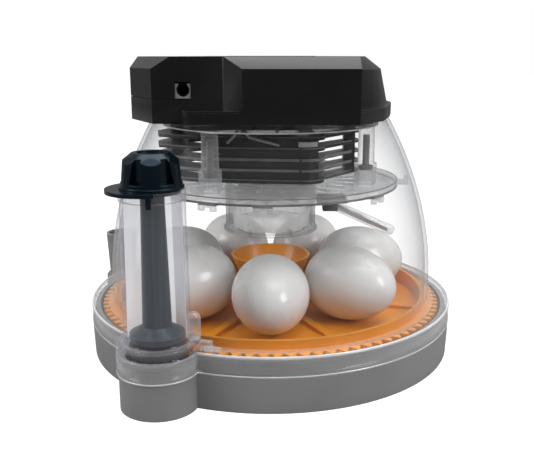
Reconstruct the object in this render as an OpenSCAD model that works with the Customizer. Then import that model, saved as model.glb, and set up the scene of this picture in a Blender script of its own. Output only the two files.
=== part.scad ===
// Manual-turning egg incubator with a clear dome, in millimetres, +Z up.
// The origin is on the base's underside, on the egg disk's axis. The front is -Y.

/* [Base] */
// radius of the base at its ledge
base_r = 112; // [100:0.5:130]
// how much narrower the base is at the floor
base_draft = 0.7; // [0:0.1:2]
// height of the ledge that the dome's skirt stands on
ledge_z = 19.5; // [14:0.5:26]
// height of the base's inner wall
inner_wall_z = 28.5; // [24:0.5:34]
// radius of the inner wall's outside
inner_wall_r = 109.5; // [98:0.5:128]
// thickness of the base's floor
base_floor = 2.5; // [1.5:0.1:4]
// radius of the base's cavity
base_cavity_r = 106.8; // [95:0.1:125]
// radius of the lobe below the ledge
lobe_r = 20.5; // [18:0.1:24]
// radius of the lobe's inner wall
lobe_inner_wall_r = 19.3; // [17:0.1:23]
// radius of the lobe's cavity
lobe_cavity_r = 16.8; // [15:0.1:20]

/* [Gears] */
// module of the ring and the pinion
gear_module = 2.3; // [1.5:0.1:3]
// teeth round the egg disk
ring_teeth = 90; // [80:1:100]
// teeth on the pinion
pinion_teeth = 10; // [9:1:14]
// pressure angle
pressure_angle = 28; // [20:1:30]
// addendum as a share of the module
addendum_share = 0.75; // [0.6:0.05:1]
// play between the teeth, along the pitch circle
backlash = 0.3; // [0.1:0.05:0.6]
// underside of the ring's teeth
ring_z0 = 24.5; // [22:0.1:27]
// top of the ring's teeth
ring_z1 = 28.4; // [26:0.1:32]

/* [Egg disk] */
// height of the disk's floor
floor_z = 24; // [20:0.5:30]
// thickness of the disk's floor
disk_plate = 2; // [1.2:0.1:3]
// radius of the upstanding rim's outside
rim_r = 96.3; // [85:0.1:110]
// top of the upstanding rim
rim_z = 33.6; // [28:0.1:40]
// thickness of the rim
rim_wall = 2.1; // [1.2:0.1:3]
// how many eggs lie on the disk
egg_count = 7; // [5:1:9]
// width of an egg
egg_w = 44; // [38:0.5:50]
// length of an egg
egg_l = 57.5; // [50:0.5:66]
// distance from the axis to the middle of an egg
egg_r = 60; // [50:0.5:70]
// width of a radial rib
rib_w = 5; // [3:0.5:8]
// height of a radial rib
rib_h = 2; // [1:0.1:4]
// radius of the cup's rim
cup_rim_r = 25; // [18:0.5:30]
// radius of the cup at the disk's floor
cup_foot_r = 12; // [10:0.5:18]
// top of the cup
cup_z = 54; // [40:0.5:60]

/* [Dome] */
// radius of the dome at its foot
dome_r = 99; // [88:0.1:115]
// height at which the wall starts to lean in
dome_straight_z = 42; // [35:0.5:60]
// how far the wall has leaned in at the reference height
dome_lean = 27.8; // [15:0.1:40]
// reference height for the lean, above the straight part
dome_lean_h = 98.4; // [80:0.1:120]
// exponent of the lean
dome_lean_power = 2.02; // [1.5:0.01:3]
// top edge of the dome
dome_top_z = 144.8; // [130:0.1:160]
// thickness of the dome's wall
dome_wall = 2.3; // [1.5:0.1:4]
// top of the flange round the dome's foot
flange_z = 31; // [29:0.1:36]
// thickness of the flange
flange_t = 2; // [1.2:0.1:3]
// radius of the skirt's inside
skirt_inner_r = 110; // [98:0.1:128]
// top of the raised cover over the lobe
lobe_cover_z = 36.6; // [32:0.1:42]
// radius of the lobe's clear skirt
lobe_skirt_r = 21.5; // [19:0.1:25]

/* [Column] */
// direction of the column seen from above
column_angle = 240; // [0:1:359]
// radius of the column tube at its foot
tube_r0 = 17.2; // [15:0.1:20]
// radius of the column tube at its top
tube_r1 = 16.1; // [14:0.1:19]
// thickness of the column tube
tube_wall = 1.9; // [1.2:0.1:3]
// top of the column tube
tube_top_z = 113.6; // [90:0.1:130]
// radius of the shaft at the top
shaft_r1 = 6; // [4:0.1:9]
// radius of the shaft at the foot
shaft_r0 = 7.5; // [5:0.1:10]
// underside of the knob's body
knob_z = 114.2; // [95:0.1:130]
// top of the knob
knob_top_z = 131.5; // [110:0.1:150]
// radius of the knob's base
knob_r = 15.85; // [14:0.05:20]
// radius of the knob at its shoulder
knob_shoulder_r = 13.6; // [11:0.1:17]
// farthest reach of the knob's off-centre lip
lip_reach = 22.7; // [18:0.1:28]

/* [Head] */
// underside of the head
head_z = 142.5; // [130:0.1:160]
// height of the finger ledge
ledge_head_z = 149.2; // [140:0.1:160]
// joint between the head's two halves
part_z = 155; // [148:0.1:165]
// lower edge of the top chamfer
chamfer_z = 169.8; // [160:0.1:175]
// top of the head
top_z = 175.7; // [165:0.1:190]
// radius of the head's round skirt
head_r = 72; // [66:0.1:80]
// distance from the axis to the front lobe's face
lobe_face_y = 80.5; // [74:0.1:90]
// left end of the front lobe's face
lobe_x0 = -14; // [-30:0.5:0]
// right end of the front lobe's face
lobe_x1 = 45; // [30:0.5:60]
// distance from the axis to the left block's face
block_face_y = 74.3; // [70:0.1:80]
// wall thickness of the head
head_wall = 2.5; // [1.8:0.1:4]

/* [Inside the lid] */
// underside of the clear deck
deck_z = 100.8; // [90:0.1:110]
// thickness of the deck
deck_t = 2.2; // [1.5:0.1:3]
// radius of the deck
deck_r = 77.5; // [60:0.5:84]
// distance from the axis to the deck's posts
post_r = 59.5; // [45:0.5:66]
// underside of the clear carrier below the head
carrier_z = 136.2; // [125:0.1:142]
// radius of the carrier
carrier_r = 65; // [55:0.1:68]
// how many black plates are stacked
plate_count = 5; // [3:1:8]
// underside of the lowest black plate
plate_z = 104; // [103:0.1:112]
// distance from one black plate to the next
plate_pitch = 6.2; // [4:0.1:9]
// thickness of a black plate
plate_t = 2.2; // [1:0.1:3]
// radius of the air duct cup
duct_r = 28; // [22:0.5:34]
// lower edge of the air duct cup
duct_z = 71; // [69:0.5:85]
// how many blades the fan has
blade_count = 7; // [5:1:11]

/* [Filler] */
// direction of the water filler seen from above
filler_angle = 150; // [0:1:359]
// distance from the axis to the filler
filler_dist = 124; // [118:0.5:132]
// radius of the filler's mouth
filler_r = 10.5; // [8:0.1:14]
// radius of the filler's foot
filler_foot_r = 9; // [7:0.1:12]
// top of the filler
filler_top_z = 53; // [40:0.5:70]

/* [Hidden] */
$fn = 96;
gap = 0.3;            // space between curved faces that move past each other
run = 0.05;           // radial running fit of a pin in its bore
eps = 0.01;
ring_pitch_r = gear_module * ring_teeth / 2;
pinion_pitch_r = gear_module * pinion_teeth / 2;
column_dist = ring_pitch_r + pinion_pitch_r;
column_x = column_dist * cos(column_angle);
column_y = column_dist * sin(column_angle);
dome_steps = 26;
deck_top = deck_z + deck_t;
tray_z = 10;
tray_t = 2;
spigot_r = 6;
spigot_z = 23.4;
pipe_z = 16;
pipe_r = 3.2;
bush_r = 7.6;
foot_pin_r = 3;
post_angles = [236, 341, 108];
clip_angles = [244, 267, 321, 15, 69, 123, 180];
tab_angles = [352, 112, 232];
screw_angles = [35, 125, 215, 305];
screw_dist = 92;
screw_r = 1.5;
head_floor_z = 146.3; // underside of the lower housing's floor
head_floor_t = 2.4;
core_r0 = 69.5;       // the head's round wall at the finger ledge
core_r1 = 65.3;       // and below its chamfer
core_r2 = 56;         // and at the top
button_r = 4;
button_x = [-16, 0, 16];
button_y = 26;
button_top = 0;
stroke = 1;
inlet_x = -44.2;
inlet_z = 159.3;
inlet_w = 8;
inlet_bore_r = 2.75;
groove_h = 0.3;       // fine groove between the head's halves
groove_depth = 0.8;
knob_turned = 9.4;    // the knob's cap, lip and tab, turned about the column
knob_shoulder_z = 128;
knob_crown_r = 9.2;
lip_h = 1.9;
tab_h = 7;
plug_h = 1.6;
scallop_r = 11.7;
scallop_h = 10.4;
pinion_drum_r = 14.6; // the plain drum above the pinion's teeth
cover_post_r = 3.4;
cover_post_h = 13;
lead_r = 0.85;
carrier_screw_angles = [180, 80, 30];
carrier_screw_dist = 58.5;
carrier_screw_r = 2.3;
comb_x = [-62, 46];   // the blocks that join the black plates at their ends
comb_size = [7, 9];
motor_r = 12;
motor_h = 15;
fan_z = 89.5;
fan_h = 9.5;
fan_hub_r = 7;
disc_x = 19;          // the round end of the black plates
disc_y = -20;
disc_r = 13;
probe_from = [31, -48, 97];
probe_to = [66.5, -56, 82.5];
probe_r = 2.8;

// ---- helpers ----

module at_column() translate([column_x, column_y, 0]) children();
module around(angle, r) rotate(angle) translate([r, 0, 0]) children();
module ring(r_out, r_in, h) difference() {
    cylinder(r = r_out, h = h);
    translate([0, 0, -eps]) cylinder(r = r_in, h = h + 2 * eps);
}
module rod(from, to, r, r2 = -1) {
    d = to - from;
    len = norm(d);
    translate(from) rotate([0, acos(d[2] / len), atan2(d[1], d[0])]) cylinder(r1 = r, r2 = r2 < 0 ? r : r2, h = len);
}

// half the angle that a tooth takes up at radius r
function inv_deg(a) = tan(a) * 180 / PI - a;
function half_tooth(r, rp) = let (rb = rp * cos(pressure_angle), a = r > rb ? acos(rb / r) : 0)
    (PI * gear_module / 2 - backlash / 2) / 2 / rp * 180 / PI + inv_deg(pressure_angle) - inv_deg(a);
function tooth_side(rp, root, tip, steps) = let (rb = rp * cos(pressure_angle), start = max(rb, root))
    concat([root], [for (i = [0:steps]) start + (tip - start) * i / steps]);
function polar(r, a) = [r * cos(a), r * sin(a)];
function gear_points(teeth, steps) = let (
        rp = gear_module * teeth / 2,
        radii = tooth_side(rp, rp - gear_module, rp + addendum_share * gear_module, steps), n = len(radii))
    [for (k = [0:teeth - 1]) each concat(
        [for (i = [0:n - 1]) polar(radii[i], 360 * k / teeth - half_tooth(radii[i], rp))],
        [for (i = [n - 1:-1:0]) polar(radii[i], 360 * k / teeth + half_tooth(radii[i], rp))])];

// ---- base ----

module base_outline(r, lobe) {
    circle(r = r);
    at_column() circle(r = lobe);
}
module filler_lobe(r, z0, z1) translate([0, 0, z0]) around(filler_angle, filler_dist) cylinder(r = r, h = z1 - z0);

module base_shell() color([0.47, 0.47, 0.47]) difference() {
    union() {
        cylinder(r1 = base_r - base_draft, r2 = base_r, h = ledge_z, $fn = 180);
        at_column() cylinder(r = lobe_r, h = ledge_z);
        linear_extrude(inner_wall_z) base_outline(inner_wall_r, lobe_inner_wall_r, $fn = 180);
        difference() {
            union() {
                filler_lobe(filler_foot_r + 2.6, 0, 22);
                rotate(filler_angle) translate([base_r - 8, -filler_foot_r - 2.6, 0]) cube([20, 2 * filler_foot_r + 5.2, 22]);
            }
            translate([0, 0, ledge_z]) cylinder(r = base_r + 0.5, h = 10, $fn = 180);
        }
    }
    difference() {
        translate([0, 0, base_floor]) linear_extrude(40) base_outline(base_cavity_r, lobe_cavity_r, $fn = 180);
        for (a = screw_angles) around(a, screw_dist) cylinder(r = 5, h = tray_z);
        at_column() cylinder(r = bush_r + 2, h = 8);
    }
    for (a = screw_angles) around(a, screw_dist) {
        translate([0, 0, -eps]) cylinder(r = 3.6, h = 4 + 2 * eps);
        cylinder(r = screw_r + run, h = 20);
    }
    at_column() translate([0, 0, base_floor]) cylinder(r = bush_r + run, h = 20);
    filler_lobe(filler_foot_r - 0.4, 9, 40);
    rotate(filler_angle) translate([base_cavity_r - 5, 0, pipe_z]) rotate([0, 90, 0]) cylinder(r = pipe_r + 0.15, h = 25);
}

module base_tray() color([0.56, 0.56, 0.57]) difference() {
    union() {
        translate([0, 0, tray_z]) cylinder(r = base_cavity_r - 0.4, h = tray_t, $fn = 180);
        translate([0, 0, tray_z]) cylinder(r = spigot_r + 4, h = 4.6);
        cylinder_between(spigot_r, tray_z, spigot_z);
        translate([0, 0, tray_z]) ring(88, 85.5, floor_z - disk_plate - gap - tray_z, $fn = 180);
        for (a = screw_angles) around(a, screw_dist) cylinder_between(4, tray_z, tray_z + 6);
    }
    for (a = screw_angles) around(a, screw_dist) cylinder_between(screw_r + run, 0, tray_z + 5);
    rotate(filler_angle) translate([75, 0, pipe_z]) rotate([0, 90, 0]) cylinder(r = pipe_r + 0.3, h = 25);
    at_column() cylinder_between(bush_r + 1.5, 0, 40);
}
module cylinder_between(r, z0, z1) translate([0, 0, z0]) cylinder(r = r, h = z1 - z0);

module water_tray() color([0.36, 0.42, 0.48]) difference() {
    translate([0, 0, tray_z + tray_t]) ring(80, 18, 8.4, $fn = 144);
    translate([0, 0, tray_z + tray_t + 1.4]) ring(78.4, 50.8, 20, $fn = 144);
    translate([0, 0, tray_z + tray_t + 1.4]) ring(49.2, 19.6, 20, $fn = 144);
    rotate(filler_angle) translate([70, 0, pipe_z]) rotate([0, 90, 0]) cylinder(r = pipe_r + run, h = 25);
    rotate(filler_angle) translate([50, 0, tray_z + tray_t + 6]) cube([5, 12, 8], center = true);
}

module water_pipe() color([0.62, 0.64, 0.66]) rotate(filler_angle) translate([74, 0, pipe_z]) rotate([0, 90, 0])
    ring(pipe_r, pipe_r - 1, filler_dist - 6.2 - 74);

module water_filler() color([0.5, 0.5, 0.5]) difference() {
    around(filler_angle, filler_dist) difference() {
        union() {
            cylinder_between(filler_foot_r - 0.5, 9.1, 22.2);
            translate([0, 0, 22.1]) cylinder(r1 = filler_foot_r, r2 = filler_r, h = filler_top_z - 22.1);
            cylinder_between(filler_foot_r + 1.5, 22.1, 23.4);
        }
        translate([0, 0, 11]) cylinder(r = filler_foot_r - 2, h = 11.1);
        translate([0, 0, 22.05]) cylinder(r1 = filler_foot_r - 2, r2 = filler_r - 1.5, h = filler_top_z - 22);
    }
    rotate(filler_angle) translate([filler_dist - 15, 0, pipe_z]) rotate([0, 90, 0]) cylinder(r = pipe_r + run, h = 12);
    cylinder_between(base_r + 0.5, 20, 30);
}

module base_screws() color([0.3, 0.3, 0.31]) for (a = screw_angles) around(a, screw_dist) difference() {
    union() {
        cylinder_between(3.2, 1.6, 4);
        cylinder_between(screw_r, 3, tray_z + 4.6);
    }
    for (t = [0, 90]) rotate(t) translate([-2, -0.4, 1.5]) cube([4, 0.8, 1]);
}

module shaft_bush() color([0.2, 0.2, 0.21]) at_column() difference() {
    cylinder_between(bush_r, base_floor, 17);
    cylinder_between(foot_pin_r + run, base_floor + 1.5, 20);
}

// ---- egg disk ----

module egg_disk() color([0.93, 0.62, 0.14]) difference() {
    union() {
        translate([0, 0, floor_z - disk_plate]) cylinder(r = rim_r - 1, h = disk_plate, $fn = 180);
        translate([0, 0, floor_z - disk_plate]) ring(rim_r, rim_r - rim_wall, rim_z - floor_z + disk_plate, $fn = 180);
        translate([0, 0, ring_z0]) linear_extrude(ring_z1 - ring_z0) difference() {
            polygon(gear_points(ring_teeth, 3));
            circle(r = rim_r - 1, $fn = 180);
        }
        cylinder_between(spigot_r + 4.5, 15, floor_z);
        for (k = [0:egg_count - 1]) rotate(270 + 180 / egg_count + 360 * k / egg_count)
            translate([cup_foot_r + 6, -rib_w / 2, floor_z - 0.5]) cube([rim_r - rim_wall - cup_foot_r - 5, rib_w, rib_h + 0.5]);
    }
    cylinder_between(spigot_r + run, 0, floor_z + 1);
}

module centre_cup() color([0.84, 0.5, 0.1]) difference() {
    union() {
        translate([0, 0, floor_z]) cylinder(r1 = cup_foot_r, r2 = cup_rim_r, h = cup_z - floor_z);
        cylinder_between(cup_foot_r + 4, floor_z, floor_z + 1.4);
    }
    translate([0, 0, floor_z + 1.8]) cylinder(r1 = cup_foot_r - 0.9, r2 = cup_rim_r - 1.7, h = cup_z - floor_z - 1.8 + eps);
    cylinder_between(spigot_r + 0.6, 0, floor_z + 0.6);
}

// egg radius at u from -1 (blunt end) to 1 (narrow end)
function egg_shape(u) = sqrt(max(0, 1 - u * u)) / sqrt(1 + 0.2 * u + 0.05);
egg_steps = 26;
egg_widest = max([for (i = [0:100]) egg_shape(i / 50 - 1)]);
module one_egg() rotate_extrude($fn = 64) polygon([for (i = [0:egg_steps]) let (u = -cos(180 * i / egg_steps))
    [i == 0 || i == egg_steps ? 0 : egg_w / 2 * egg_shape(u) / egg_widest, u * egg_l / 2]]);
module eggs() color([0.93, 0.92, 0.9]) for (k = [0:egg_count - 1]) rotate(270 + 360 * k / egg_count)
    translate([egg_r, 0, floor_z + egg_w / 2 + 0.05]) rotate([0, 90, 0]) one_egg();

// ---- dome ----

function dome_outer(z) = dome_r - (z > dome_straight_z ? dome_lean * pow((z - dome_straight_z) / dome_lean_h, dome_lean_power) : 0);
function dome_zs() = concat([flange_z - flange_t], [for (i = [0:dome_steps]) dome_straight_z + (dome_top_z - dome_straight_z) * i / dome_steps]);
foot_fillet = 4;

module dome_shell() rotate_extrude($fn = 144) polygon(concat(
    [for (z = dome_zs()) [dome_outer(z) - dome_wall, z]],
    [for (i = [dome_steps:-1:0]) let (z = dome_straight_z + (dome_top_z - dome_straight_z) * i / dome_steps) [dome_outer(z), z]],
    [for (t = [0:15:90]) [dome_r + foot_fillet * (1 - cos(t)), flange_z + foot_fillet * (1 - sin(t))]],
    [[dome_r + foot_fillet, flange_z - flange_t]]));

// height of the web's edge at a distance from the axis follows the dome's own wall
module column_web() rotate(column_angle) rotate([90, 0, 0]) linear_extrude(2.2, center = true) polygon(concat(
    [for (i = [0:10]) let (z = flange_z + (tube_top_z - 8 - flange_z) * i / 10) [dome_outer(z) - dome_wall / 2, z]],
    [[column_dist - tube_r1 + 0.8, tube_top_z - 8], [column_dist - tube_r0 + 0.8, flange_z]]));

module dome() color([0.86, 0.89, 0.91, 0.3]) difference() {
    union() {
        difference() {
            union() {
                cylinder_between(base_r, ledge_z + 0.2, flange_z, $fn = 180);
                at_column() cylinder_between(lobe_skirt_r, ledge_z + 0.2, lobe_cover_z);
            }
            cylinder_between(skirt_inner_r, 0, flange_z - flange_t, $fn = 180);
            cylinder_between(dome_r - 0.4, 0, 60);
            difference() {
                at_column() cylinder_between(lobe_skirt_r - 1.8, 0, lobe_cover_z - 1.8);
                cylinder_between(dome_r + 0.3, flange_z - flange_t, 60);
            }
        }
        dome_shell();
        at_column() translate([0, 0, lobe_cover_z - 1.8]) cylinder(r1 = tube_r0, r2 = tube_r1, h = tube_top_z - 5 - lobe_cover_z + 1.8);
        difference() {
            at_column() translate([0, 0, lobe_cover_z - eps]) cylinder(r1 = tube_r0 + 2.2, r2 = tube_r0, h = 2.2);
            cylinder_between(dome_r - 1, 0, 60);
        }
        difference() {
            column_web();
            cylinder_between(dome_r - 0.4, 0, flange_z + 1);
        }
        translate([-39, -98, lobe_cover_z - 2.8]) {
            cylinder(r = cover_post_r, h = cover_post_h);
            translate([0, 0, cover_post_h]) sphere(r = cover_post_r, $fn = 32);
        }
        rotate(column_angle + 12.4) translate([104, -3, flange_z - 1]) cube([5.5, 6, 4.2]);
    }
    at_column() translate([0, 0, lobe_cover_z - 3]) cylinder(r1 = tube_r0 - tube_wall, r2 = tube_r1 - tube_wall, h = tube_top_z - lobe_cover_z + 4);
    at_column() cylinder_between(pinion_drum_r + 0.6, 0, lobe_cover_z - 1.8);
}

module tube_collar() color([0.86, 0.89, 0.91, 0.3]) at_column() difference() {
    cylinder_between(tube_r1 + 0.5, tube_top_z - 5, tube_top_z);
    cylinder_between(tube_r1 - tube_wall, 0, 200);
    for (a = [20, 200]) rotate(a) translate([-30, tube_r1 - 0.7, tube_top_z - 3.4]) rotate([0, 6, 0]) cube([60, 10, 1.3]);
}

// ---- head ----

module front_lobe_2d(out = 0) polygon([
    [lobe_x0 - 10 + out, -30], [lobe_x0 - 10 + out, -block_face_y + out], [lobe_x0 + out, -lobe_face_y + out],
    [lobe_x1 - out, -lobe_face_y + out], [lobe_x1 - 2 - out, -50], [lobe_x1 - 2 - out, -30]]);
module block_2d(out = 0) polygon([
    [-60 + out, -block_face_y + out], [lobe_x0 - 9, -block_face_y + out], [lobe_x0 - 9, -30], [-40, 0],
    [-71 + out, -8], [-76 + out, -44 + 0.6 * out]]);
module band_2d(out = 0) {
    circle(r = head_r - out, $fn = 144);
    polygon([[-44 + out, -50], [-44 + out, -lobe_face_y + 1.5 + out], [-41 + out, -lobe_face_y + out],
        [lobe_x1 - out, -lobe_face_y + out], [60 - out, -58 + out / 2], [68 - out, -28], [70 - out, 0], [0, 0]]);
    block_2d(out);
    rotate(180) front_lobe_2d(out);
}
module core(out = 0) {
    translate([0, 0, ledge_head_z - eps]) cylinder(r1 = core_r0 - out, r2 = core_r1 - out, h = chamfer_z - 1.2 - ledge_head_z + 2 * eps, $fn = 144);
    translate([0, 0, chamfer_z - 1.2]) cylinder(r1 = core_r1 - out, r2 = core_r2 - out, h = top_z - chamfer_z + 1.2, $fn = 144);
}
// everything of the head above the ledge, before it is hollowed
module head_upper(out = 0) difference() {
    union() {
        core(out);
        for (t = [0, 180]) rotate(t) translate([0, 0, ledge_head_z - eps]) linear_extrude(top_z - ledge_head_z) front_lobe_2d(out);
        translate([0, 0, ledge_head_z - eps]) linear_extrude(top_z - ledge_head_z) block_2d(out);
    }
    for (t = [0, 180]) rotate(t) front_chamfer(out);
    left_chamfer(out);
}
module front_chamfer(out) translate([lobe_x0 - 9, -lobe_face_y + out, chamfer_z - out * 0.4]) rotate([45, 0, 0]) translate([0, -20, 0]) cube([80, 40, 12]);
module left_chamfer(out) translate([-60 + out, -block_face_y, chamfer_z - out * 0.4]) rotate(27.8) rotate([0, -34.8, 0]) translate([-20, -40, 0]) cube([45, 90, 14]);

module head_lower() color([0.07, 0.07, 0.075]) difference() {
    union() {
        translate([0, 0, head_z]) linear_extrude(ledge_head_z - head_z) band_2d();
        intersection() {
            head_upper();
            cylinder_between(140, ledge_head_z - eps, part_z);
        }
    }
    cylinder_between(70.6, 0, head_floor_z, $fn = 144);
    translate([0, 0, head_z - eps]) linear_extrude(head_floor_z - head_z) difference() {
        band_2d(head_wall);
        circle(r = head_r - 0.1, $fn = 144);
    }
    intersection() {
        translate([0, 0, head_floor_z + head_floor_t]) linear_extrude(20) union() { circle(r = 66, $fn = 144); block_2d(head_wall); }
        cylinder_between(140, 0, part_z);
    }
    parting_groove();
    translate([inlet_x - inlet_w / 2, -block_face_y - 1, part_z - groove_h]) cube([inlet_w, 9, 4]);
    for (a = screw_angles) around(a + 10, 58) cylinder_between(screw_r + run, 0, part_z + 5);
    around(100, 20) cylinder_between(3, 140, 150);
}

// the fine groove between the head's two halves, round the block that holds the inlet
module parting_groove() difference() {
    translate([-80, -90, part_z - groove_h]) cube([80 + inlet_x + inlet_w / 2, 52, 2 * groove_h]);
    translate([0, 0, part_z - 2 * groove_h]) linear_extrude(4 * groove_h) block_2d(groove_depth);
}

module head_cover() color([0.07, 0.07, 0.075]) difference() {
    intersection() {
        head_upper();
        cylinder_between(140, part_z, top_z - eps);
    }
    intersection() {
        difference() {
            union() {
                core(3.4);
                translate([0, 0, part_z - 1]) linear_extrude(12) block_2d(head_wall);
            }
            for (a = screw_angles) around(a + 10, 58) cylinder_between(4, part_z, top_z);
        }
        cylinder_between(140, part_z - 1, top_z - head_wall);
    }
    for (a = screw_angles) around(a + 10, 58) cylinder_between(screw_r + run, 0, part_z + 8);
    translate([inlet_x - inlet_w / 2, -block_face_y - 1, part_z - 1]) cube([inlet_w, 9, 9.4]);
    translate([-26, -26, top_z - 1.4]) cube([52, 38, 3]);
    translate([-17, -14, top_z - 5]) cube([34, 17, 6]);
    for (x = button_x) translate([x, button_y, 0]) cylinder_between(button_r + gap, part_z, top_z + 1);
}

module head_seal() color([0.6, 0.6, 0.6]) translate([0, 0, dome_top_z]) ring(68.3, 65.9, head_floor_z - dome_top_z, $fn = 144);

module head_screws() color([0.28, 0.28, 0.3]) for (a = screw_angles) around(a + 10, 58) {
    cylinder_between(3, head_floor_z - 2, head_floor_z);
    cylinder_between(screw_r, head_floor_z, part_z + 7);
}

module display_frame() color([0.12, 0.12, 0.13]) difference() {
    translate([-25.8, -25.8, top_z - 1.4]) cube([51.6, 37.6, 1.6]);
    translate([-16, -13, top_z - 5]) cube([32, 15, 10]);
}
module display_window() color([0.25, 0.33, 0.3]) translate([-15.9, -12.9, top_z - 2.6]) cube([31.8, 14.8, 2]);

module inlet_surround() color([0.6, 0.6, 0.6]) difference() {
    translate([inlet_x - inlet_w / 2 + 0.05, -block_face_y + 0.6, part_z + 0.1]) cube([inlet_w - 0.1, 1.6, 7.4]);
    translate([inlet_x, -block_face_y - 1, inlet_z]) rotate([-90, 0, 0]) cylinder(r = inlet_bore_r + 0.6, h = 8);
    translate([inlet_x - 2.3, -block_face_y - 1, inlet_z]) cube([4.6, 8, 10]);
}
module power_inlet() color([0.05, 0.05, 0.05]) difference() {
    union() {
        translate([inlet_x - 3.9, -block_face_y + 2.3, part_z + 0.1]) cube([7.8, 5.6, 8.1]);
        translate([inlet_x - 3.6, -block_face_y + 7.8, part_z + 0.3]) cube([7.2, 7, 7.8]);
    }
    translate([inlet_x, -block_face_y + 2.2, inlet_z]) rotate([-90, 0, 0]) cylinder(r = inlet_bore_r, h = 3.3);
    translate([inlet_x, -block_face_y + 5.4, inlet_z]) rotate([-90, 0, 0]) difference() {
        cylinder(r = 2, h = 6);
        cylinder(r = 0.65, h = 6);
    }
}

module circuit_board() color([0.1, 0.34, 0.18]) {
    translate([-42, -30, 158]) cube([84, 64, 1.6]);
    translate([-17, -14, 159.6]) cube([34, 17, 8]);
    for (x = button_x) translate([x - 3, button_y - 3, 159.6]) cube([6, 6, top_z - head_wall - stroke - 4.2 - 159.6]);
    translate([22, -20, 159.6]) cube([12, 9, 5]);
    for (x = [-34, -28]) translate([x, 16, 159.6]) cylinder(r = 2.4, h = 6);
    for (x = [-38, 38], y = [-26, 30]) translate([x, y, head_floor_z + head_floor_t]) cylinder(r = 2.6, h = 158 - head_floor_z - head_floor_t);
}

module button(x) color([0.42, 0.43, 0.45]) translate([x, button_y, 0]) {
    cylinder_between(button_r, top_z - head_wall - 1.6, top_z + button_top);
    cylinder_between(button_r + 1.4, top_z - head_wall - 3, top_z - head_wall - gap);
}
module button_left() button(button_x[0]);
module button_middle() button(button_x[1]);
module button_right() button(button_x[2]);

// ---- inside the lid ----

module carrier_plate() color([0.86, 0.88, 0.9, 0.3]) difference() {
    union() {
        translate([0, 0, carrier_z]) cylinder(r = carrier_r, h = 1.8, $fn = 120);
        translate([0, 0, carrier_z]) ring(carrier_r, carrier_r - 2, head_floor_z - carrier_z, $fn = 120);
    }
    cylinder_between(20, 0, 200);
    for (a = [0, 90, 180, 270]) around(a, 36) cylinder_between(9, 0, 200);
    for (a = screw_angles) around(a + 10, 58) cylinder_between(3.4, 0, 200);
}

module plate_2d(inset = 0) difference() {
    union() {
        translate([disc_x, disc_y]) circle(r = disc_r - inset, $fn = 64);
        polygon([[-70, 8], [-67, -9], [-42, -25 + inset], [disc_x, disc_y - disc_r + inset], [disc_x + 9, disc_y + 6], [26, 8], [24, 42],
            [-34, 42], [-64, 26]]);
        polygon([[24, -20], [30.5, -19], [56, 17], [55, 24], [50, 22], [24, -9]]);
    }
    polygon([[-52, 4], [-36, -10], [-16, -15], [6, -15], [18, -8], [18, 30], [-28, 30], [-50, 18]]);
    circle(r = motor_r + 1.5, $fn = 64);
}
module heater_plates() color([0.05, 0.05, 0.055]) difference() {
    union() {
        for (k = [0:plate_count - 1]) translate([0, 0, plate_z + k * plate_pitch]) linear_extrude(plate_t) plate_2d();
        translate([0, 0, plate_z + 1]) linear_extrude((plate_count - 1) * plate_pitch) intersection() {
            plate_2d(2.6);
            translate([-40, -40]) square([68, 26]);
        }
        for (x = comb_x) translate([x, 10, plate_z + 1]) cube([comb_size[0], comb_size[1], carrier_z - plate_z - 1]);
    }
    translate([-36, -21.5, plate_z + plate_pitch * 2 + 4]) rotate([0, 90, 0]) cylinder(r = 2.6, h = 58);
}
module heater_rod() color([0.7, 0.45, 0.3]) translate([-35.5, -21.5, plate_z + plate_pitch * 2 + 4]) rotate([0, 90, 0]) cylinder(r = 2.5, h = 57);

module plate_label() color([0.85, 0.85, 0.84]) translate([0, 0, plate_z + (plate_count - 1) * plate_pitch - 3.6]) intersection() {
    translate([disc_x, disc_y]) ring(disc_r - 1.6, disc_r - 2.6 + 0.02, 2.9);
    translate([disc_x - 3, disc_y - 20, -1]) cube([12, 12, 6]);
}

module ribbed_spacer() color([0.88, 0.9, 0.92, 0.4]) translate([disc_x, disc_y, 0]) {
    z0 = plate_z + (plate_count - 1) * plate_pitch + plate_t;
    cylinder_between(3.4, z0, carrier_z);
    for (k = [0:3]) cylinder_between(4, z0 + 0.3 + k * 1.3, z0 + 0.9 + k * 1.3);
}

module fan_motor() color([0.16, 0.16, 0.17]) difference() {
    union() {
        cylinder_between(motor_r, deck_top, deck_top + motor_h);
        cylinder_between(5, deck_z - 1, deck_top);
    }
    cylinder_between(1.5 + run, 0, deck_top + 8);
}

module fan_wires() color([0.6, 0.6, 0.6]) for (y = [1, 5]) rod([4, y, deck_top + motor_h], [4, y, head_floor_z], 0.8);

// the heater's two leads, from the carrier down to the plates
module heater_leads() color([0.6, 0.6, 0.6]) {
    bent_lead([-18.5, -30.6, carrier_z - 0.6], [-20.5, -30.6, 132], [-25, -29.4, 127.4]);
    bent_lead([-15.5, -31.8, carrier_z - 0.6], [-12, -32, 131], [5, -34.2, 126.8]);
}
module bent_lead(a, b, c) {
    rod(a, b, lead_r);
    translate(b) sphere(r = lead_r, $fn = 24);
    rod(b, c, lead_r);
}

module carrier_screws() color([0.2, 0.2, 0.21]) for (a = carrier_screw_angles) around(a, carrier_screw_dist) {
    cylinder_between(carrier_screw_r, carrier_z - 2.6, carrier_z - 0.05);
    translate([0, 0, carrier_z - 2.6]) sphere(r = carrier_screw_r, $fn = 32);
}

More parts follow.
